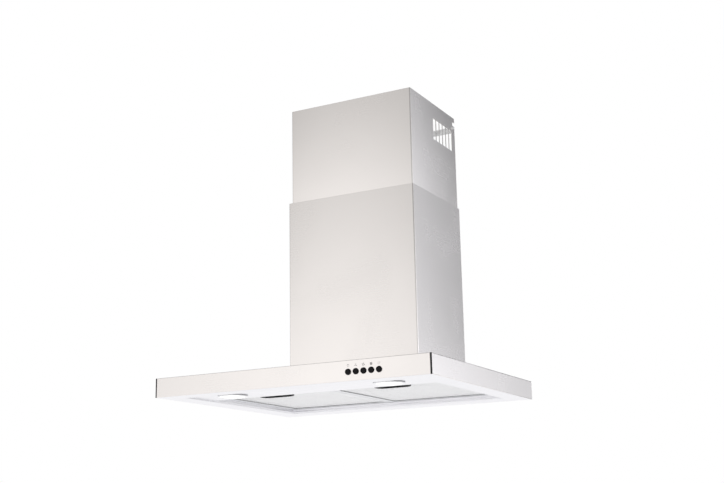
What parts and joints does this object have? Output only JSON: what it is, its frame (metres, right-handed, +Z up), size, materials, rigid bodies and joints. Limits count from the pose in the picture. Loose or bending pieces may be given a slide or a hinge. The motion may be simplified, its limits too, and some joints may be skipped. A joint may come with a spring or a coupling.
{
  "type": "chimney range hood",
  "caption": "Wall-mounted range hood: flat rectangular canopy with push buttons, lamps and lift-out grease filters, under a telescopic box chimney that hides the blower and duct.",
  "frame": {"origin": "middle of the canopy's rear face, on the plane of the wall", "axes": "+X to the right of someone facing the hood, +Y into the wall, +Z up"},
  "size_m": [0.6, 0.503, 0.653],
  "materials": {
    "brushed_steel": "stainless steel with a fine horizontal grain",
    "underside_steel": "bright satin stainless steel",
    "black_plastic": "fine moulded black",
    "button_black": "glossy black push button",
    "filter_aluminium": "satin rolled aluminium frame",
    "filter_mesh": "layers of expanded aluminium mesh",
    "polished_metal": "polished plated metal",
    "galvanised_steel": "galvanised sheet with a faint spangle",
    "lamp_glass": "frosted lens",
    "white_plastic": "white moulding",
    "grey_plastic": "grey moulding",
    "cable_sheath": "grey cable sheath"
  },
  "bodies": {
    "hood_body": {"canopy_shell": "brushed_steel", "front_fascia": "brushed_steel", "lower_chimney": "brushed_steel", "underside_panel": "underside_steel", "corner_strip_left": "black_plastic", "corner_strip_right": "black_plastic", "switch_block": "black_plastic", "cable_gland": "black_plastic", "outlet_collar": "black_plastic", "lamp_bezel_left": "polished_metal", "lamp_bezel_right": "polished_metal", "lower_screw_1": "polished_metal", "lower_screw_2": "polished_metal", "box_screw_1": "polished_metal", "box_screw_2": "polished_metal", "box_screw_3": "polished_metal", "box_screw_4": "polished_metal", "damper_pin": "polished_metal", "lamp_housing_left": "galvanised_steel", "lamp_housing_right": "galvanised_steel", "blower_box": "galvanised_steel", "motor": "galvanised_steel", "motor_bracket": "galvanised_steel", "lamp_lens_left": "lamp_glass", "lamp_lens_right": "lamp_glass", "lamp_led_left": "white_plastic", "lamp_led_right": "white_plastic", "capacitor": "white_plastic", "terminal_box": "white_plastic", "lamp_driver": "white_plastic", "scroll_half_left": "grey_plastic", "scroll_half_right": "grey_plastic", "switch_harness": "cable_sheath", "driver_lead": "cable_sheath", "lamp_lead_left": "cable_sheath", "lamp_lead_right": "cable_sheath"},
    "upper_section": {"upper_chimney": "brushed_steel", "upper_wall_bracket": "galvanised_steel", "upper_screw_left": "polished_metal", "upper_screw_right": "polished_metal"},
    "light_button": {"button_light": "button_black"},
    "speed_1_button": {"button_speed_1": "button_black"},
    "speed_2_button": {"button_speed_2": "button_black"},
    "speed_3_button": {"button_speed_3": "button_black"},
    "off_button": {"button_off": "button_black"},
    "filter_left": {"filter_frame_left": "filter_aluminium", "filter_mesh_left": "filter_mesh", "filter_handle_left": "black_plastic"},
    "latch_left": {"filter_latch_left": "polished_metal"},
    "filter_right": {"filter_frame_right": "filter_aluminium", "filter_mesh_right": "filter_mesh", "filter_handle_right": "black_plastic"},
    "latch_right": {"filter_latch_right": "polished_metal"},
    "blower_wheel": {"impeller": "black_plastic", "motor_shaft": "polished_metal"},
    "rear_damper": {"damper_flap_rear": "grey_plastic"},
    "front_damper": {"damper_flap_front": "grey_plastic"}
  },
  "joints": [
    {"name": "upper_section_slide", "type": "slide", "parent": "hood_body", "child": "upper_section", "axis": [0, 0, 1], "range_m": [-0.205, 0.134]},
    {"name": "light_button_push", "type": "slide", "parent": "hood_body", "child": "light_button", "axis": [0, 1, 0], "range_m": [0, 0.0025], "stiffness_N_per_m": 400, "springref_m": -0.0025},
    {"name": "speed_1_button_push", "type": "slide", "parent": "hood_body", "child": "speed_1_button", "axis": [0, 1, 0], "range_m": [0, 0.0025], "stiffness_N_per_m": 400, "springref_m": -0.0025},
    {"name": "speed_2_button_push", "type": "slide", "parent": "hood_body", "child": "speed_2_button", "axis": [0, 1, 0], "range_m": [0, 0.0025], "stiffness_N_per_m": 400, "springref_m": -0.0025},
    {"name": "speed_3_button_push", "type": "slide", "parent": "hood_body", "child": "speed_3_button", "axis": [0, 1, 0], "range_m": [0, 0.0025], "stiffness_N_per_m": 400, "springref_m": -0.0025},
    {"name": "off_button_push", "type": "slide", "parent": "hood_body", "child": "off_button", "axis": [0, 1, 0], "range_m": [0, 0.0025], "stiffness_N_per_m": 400, "springref_m": -0.0025},
    {"name": "filter_left_tilt", "type": "hinge", "parent": "hood_body", "child": "filter_left", "pos_m": [-0.125, -0.064, -0.01], "axis": [1, 0, 0], "range_deg": [0, 70]},
    {"name": "latch_left_slide", "type": "slide", "parent": "filter_left", "child": "latch_left", "axis": [0, -1, 0], "range_m": [0, 0.005]},
    {"name": "filter_right_tilt", "type": "hinge", "parent": "hood_body", "child": "filter_right", "pos_m": [0.125, -0.064, -0.01], "axis": [1, 0, 0], "range_deg": [0, 70]},
    {"name": "latch_right_slide", "type": "slide", "parent": "filter_right", "child": "latch_right", "axis": [0, -1, 0], "range_m": [0, 0.005]},
    {"name": "blower_wheel_spin", "type": "hinge", "parent": "hood_body", "child": "blower_wheel", "pos_m": [0, -0.106, 0.1243], "axis": [1, 0, 0], "continuous": true},
    {"name": "rear_damper_swing", "type": "hinge", "parent": "hood_body", "child": "rear_damper", "pos_m": [0, -0.106, 0.2529], "axis": [1, 0, 0], "range_deg": [0, 75]},
    {"name": "front_damper_swing", "type": "hinge", "parent": "hood_body", "child": "front_damper", "pos_m": [0, -0.106, 0.2529], "axis": [-1, 0, 0], "range_deg": [0, 75]}
  ]
}
